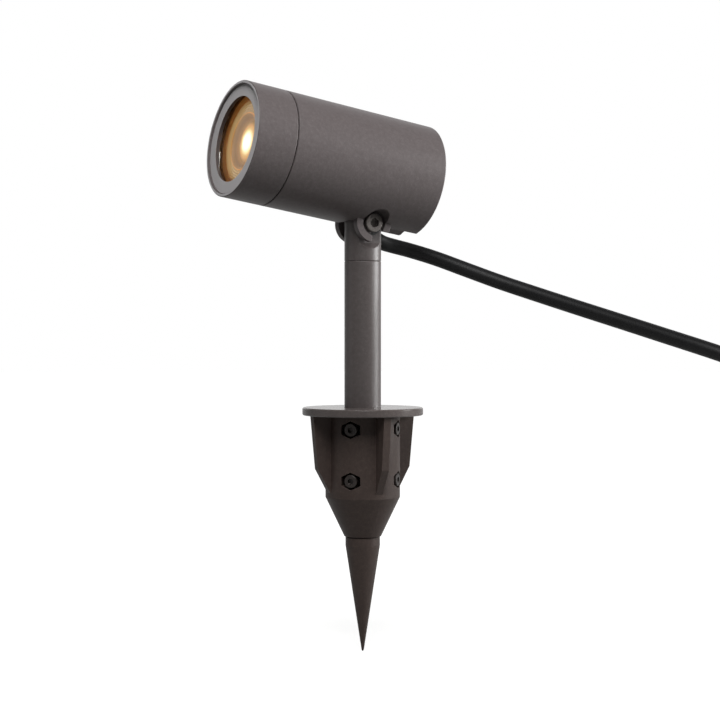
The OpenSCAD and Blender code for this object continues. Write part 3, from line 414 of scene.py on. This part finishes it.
def smoothRoute(points, steps):
    # a smooth curve through the given points, as the part's source draws it
    route = []
    last = len(points) - 1
    for i in range(last):
        a, b, c, d = (Vector(points[min(max(k, 0), last)]) for k in (i - 1, i, i + 1, i + 2))
        for s in range(steps):
            t = s / steps
            route.append(0.5 * (2 * b + (c - a) * t + (2 * a - 5 * b + 4 * c - d) * t * t
                                + (3 * b - a - 3 * c + d) * t * t * t))
    route.append(Vector(points[last]))
    return route


def tubeAlong(name, route, radius, sides):
    # a closed tube along the points, made as a bevelled curve and kept as a mesh
    curve = bpy.data.curves.new(name, "CURVE")
    curve.dimensions = "3D"
    curve.bevel_depth = radius
    curve.bevel_resolution = sides
    curve.use_fill_caps = True
    spline = curve.splines.new("POLY")
    spline.points.add(len(route) - 1)
    for point, place in zip(spline.points, route):
        point.co = (*place, 1)
    maker = bpy.data.objects.new(name + "Maker", curve)
    bpy.context.collection.objects.link(maker)
    bpy.context.view_layer.update()
    mesh = bpy.data.meshes.new_from_object(maker.evaluated_get(bpy.context.evaluated_depsgraph_get()))
    bpy.data.objects.remove(maker)
    mesh.name = name
    piece = bpy.data.objects.new(name, mesh)
    bpy.context.collection.objects.link(piece)
    for face in mesh.polygons:
        face.use_smooth = True
    return piece


# the cord: from the gland down to its put-away coil and the plug
cordLook = {
    "diameter": 0.0084,
    "sides": 8,
    "start": (-0.020, 0.015, 0.1009),
    "route": [
        (-0.020, 0.0189, 0.0977), (-0.0198, 0.024, 0.0952), (-0.019, 0.030, 0.0936), (-0.016, 0.040, 0.091),
        (-0.010, 0.053, 0.0866), (0.0, 0.067, 0.0802), (0.013, 0.081, 0.0732), (0.030, 0.095, 0.066),
        (0.050, 0.108, 0.0586), (0.072, 0.120, 0.0512), (0.096, 0.131, 0.0436), (0.120, 0.142, 0.036),
        (0.1335, 0.1516, 0.0305), (0.1434, 0.1644, 0.0248), (0.1496, 0.179, 0.0186), (0.152, 0.195, 0.0124),
        (0.152, 0.208, 0.0083), (0.152, 0.218, 0.0061), (0.152, 0.2262, 0.0053)],
    "routeSteps": 6,
    "bendEnd": (0.030, 0.095, 0.066),
    "coilCentre": (0.100, 0.243, 0.0053),
    "coilRadius": 0.052,
    "pitch": 0.009,
    "turns": 4.25,
    "turnSteps": 48,
    "reverse": 2.0,
    "climb": 0.5,
    "tail": [
        (0.085, 0.29725, 0.0143), (0.078, 0.29725, 0.0153), (0.069, 0.29725, 0.0184),
        (0.061, 0.29725, 0.0195)],
    "tailSteps": 5,
    "end": (0.053, 0.29725, 0.0195),
}


def coilPoint(turn, look):
    # two layers: in on the surface, up in the half turn where it reverses, and out again
    inward = turn if turn < look["reverse"] else 2 * look["reverse"] - turn
    radius = look["coilRadius"] - look["pitch"] * inward
    climb = min(1, max(0, (turn - look["reverse"]) / look["climb"] + 0.5))
    angle = 2 * math.pi * turn
    return Vector(look["coilCentre"]) + Vector((
        radius * math.cos(angle), radius * math.sin(angle), look["pitch"] * climb))


coilSteps = int(cordLook["turnSteps"] * cordLook["turns"])
coil = [coilPoint(i / cordLook["turnSteps"], cordLook) for i in range(coilSteps + 1)]
# the cord runs level for its own thickness where it meets the coil at either end
lead = Vector((0, cordLook["diameter"], 0))
trail = Vector((cordLook["diameter"], 0, 0))
cordRoute = ([Vector(cordLook["start"])] + smoothRoute(cordLook["route"], cordLook["routeSteps"])
             + [coil[0] - lead] + coil + [coil[-1] - trail]
             + smoothRoute(cordLook["tail"], cordLook["tailSteps"]) + [Vector(cordLook["end"])])
cord = tubeAlong("cord", cordRoute, cordLook["diameter"] / 2, cordLook["sides"])
cord.data.materials.append(cordRubber)
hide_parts("cord_lead", "cord_coil", "cord_tail")
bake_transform(cord)


def seenShare(tree, mirrored):
    # one for the camera's rays, also through glass, a share for reflections, and nothing after a matt bounce
    rays = addNode(tree, "ShaderNodeLightPath")
    plain = addNode(tree, "ShaderNodeMath", {
        0: rays.outputs["Is Camera Ray"], 1: rays.outputs["Is Transmission Ray"]}, operation="MAXIMUM")
    glossy = addNode(tree, "ShaderNodeMath", {
        0: rays.outputs["Is Glossy Ray"], 1: mirrored}, operation="MULTIPLY")
    either = addNode(tree, "ShaderNodeMath", {0: plain.outputs[0], 1: glossy.outputs[0]}, operation="MAXIMUM")
    direct = addNode(tree, "ShaderNodeMath", {
        0: rays.outputs["Diffuse Depth"], 1: 0.5}, operation="LESS_THAN")
    share = addNode(tree, "ShaderNodeMath", {
        0: either.outputs[0], 1: direct.outputs[0]}, operation="MULTIPLY")
    return share.outputs[0]


# the stage: a pale floor under the stake's point, and small pale stands for the coil and the plug
stageLook = {
    "dark": "#8a8a88",
    "pale": "#90908e",
    "fibreMm": 16.67,
    "roughness": 0.9,
    # near the object the board glows less, so its shadow shows; farther off it is plain white
    "shadowReach": 0.16,
    "whiteReach": 0.5,
    "nearGlow": 0.86,
    "mirrored": 0.4,
    "floorHeight": -0.1296,
    "floorRadius": 6.0,
    "stands": [
        {"name": "coilStand", "top": (0.100, 0.243, 0.0), "radius": 0.056},
        {"name": "plugStand", "top": (0.008, 0.29725, 0.0), "radius": 0.024},
    ],
    "standThickness": 0.004,
    "footRadius": 0.012,
    "roundSides": 96,
    "footSides": 48,
}

# Painted board, matt: it lights the object as a mid grey would, and looks white, also in reflections.
paleBoard, boardTree, boardShader = newMaterial("paintedBoard")
boardPlace = addNode(boardTree, "ShaderNodeTexCoord")
boardFibre = addNode(boardTree, "ShaderNodeTexNoise", {
    "Vector": boardPlace.outputs["Object"], "Scale": coarseness(stageLook["fibreMm"]), "Detail": 2.0})
boardTone = addNode(boardTree, "ShaderNodeValToRGB", {"Fac": boardFibre.outputs["Fac"]})
setRamp(boardTone, [(grain["noiseLow"], stageLook["dark"]), (grain["noiseHigh"], stageLook["pale"])])
boardTree.links.new(boardTone.outputs["Color"], boardShader.inputs["Base Color"])
boardShader.inputs["Roughness"].default_value = stageLook["roughness"]
boardReach = addNode(boardTree, "ShaderNodeVectorMath", {
    0: boardPlace.outputs["Object"]}, operation="LENGTH")
boardGlow = addNode(boardTree, "ShaderNodeMapRange", {
    "Value": boardReach.outputs["Value"], "From Min": stageLook["shadowReach"],
    "From Max": stageLook["whiteReach"], "To Min": stageLook["nearGlow"], "To Max": 1.0})
boardLit = addNode(boardTree, "ShaderNodeMath", {
    0: seenShare(boardTree, stageLook["mirrored"]), 1: boardGlow.outputs[0]}, operation="MULTIPLY")
boardEmission = addNode(boardTree, "ShaderNodeEmission", {
    "Color": (1, 1, 1, 1), "Strength": boardLit.outputs[0]})
boardBoth = addNode(boardTree, "ShaderNodeAddShader", {
    0: boardShader.outputs["BSDF"], 1: boardEmission.outputs["Emission"]})
boardTree.links.new(boardBoth.outputs[0], boardTree.nodes["Material Output"].inputs["Surface"])


def newPiece(name, bm, material):
    mesh = bpy.data.meshes.new(name)
    bm.to_mesh(mesh)
    bm.free()
    piece = bpy.data.objects.new(name, mesh)
    bpy.context.collection.objects.link(piece)
    mesh.materials.append(material)
    return piece


bm = bmesh.new()
bmesh.ops.create_circle(bm, cap_ends=True, segments=stageLook["roundSides"], radius=stageLook["floorRadius"],
                        matrix=Matrix.Translation((0, 0, stageLook["floorHeight"])))
newPiece("floor", bm, paleBoard)
for stand in stageLook["stands"]:
    bm = bmesh.new()
    thickness = stageLook["standThickness"]
    topX, topY, topZ = stand["top"]
    footHeight = topZ - thickness - stageLook["floorHeight"]
    bmesh.ops.create_cone(bm, cap_ends=True, segments=stageLook["roundSides"], radius1=stand["radius"],
                          radius2=stand["radius"], depth=thickness,
                          matrix=Matrix.Translation((topX, topY, topZ - thickness / 2)))
    footMiddle = stageLook["floorHeight"] + footHeight / 2
    bmesh.ops.create_cone(bm, cap_ends=True, segments=stageLook["footSides"], radius1=stageLook["footRadius"],
                          radius2=stageLook["footRadius"], depth=footHeight,
                          matrix=Matrix.Translation((topX, topY, footMiddle)))
    newPiece(stand["name"], bm, paleBoard)
print("stage set")

# soft studio light: the key panel from behind on the right, one from above, and a weak one on the lamp's face
studio = {
    "surround": 0.035,
    # the room is white behind the object, as the camera sees it, and dim in front: reflections show it so
    "roomFront": 0.08,
    "roomEdge": 0.45,
    "roomCentre": 0.97,
    "panelAim": (0, 0, 0.05),
    "panels": [
        {"name": "keyPanel", "place": (0.42, 0.95, 0.30), "size": 0.5, "power": 17.0},
        {"name": "topPanel", "place": (0.46, -0.24, 0.62), "size": 0.4, "power": 5.8},
        {"name": "facePanel", "place": (-0.45, -1.05, 0.3), "size": 0.6, "power": 0.6},
    ],
}
world = bpy.data.worlds.new("studioWorld")
bpy.context.scene.world = world
world.use_nodes = True
worldTree = world.node_tree
backdrop = worldTree.nodes["Background"]
around = addNode(worldTree, "ShaderNodeTexCoord")
behind = addNode(worldTree, "ShaderNodeVectorMath", {
    0: around.outputs["Generated"], 1: sight.normalized()}, operation="DOT_PRODUCT")
room = addNode(worldTree, "ShaderNodeMapRange", {
    "Value": behind.outputs["Value"], "From Min": studio["roomEdge"], "From Max": studio["roomCentre"],
    "To Min": studio["roomFront"], "To Max": 1.0}, interpolation_type="SMOOTHSTEP")
level = addNode(worldTree, "ShaderNodeMath", {
    0: seenShare(worldTree, room.outputs[0]), 1: studio["surround"]}, operation="MAXIMUM")
backdrop.inputs["Color"].default_value = (1, 1, 1, 1)
worldTree.links.new(level.outputs[0], backdrop.inputs["Strength"])
for panel in studio["panels"]:
    panelData = bpy.data.lights.new(panel["name"], "AREA")
    panelData.shape = "SQUARE"
    panelData.size = panel["size"]
    panelData.energy = panel["power"]
    panelLight = bpy.data.objects.new(panel["name"], panelData)
    bpy.context.collection.objects.link(panelLight)
    panelLight.location = panel["place"]
    toAim = Vector(studio["panelAim"]) - Vector(panel["place"])
    panelLight.rotation_euler = toAim.to_track_quat("-Z", "Y").to_euler()
bpy.context.scene.view_settings.view_transform = "Standard"
print("studio lit")
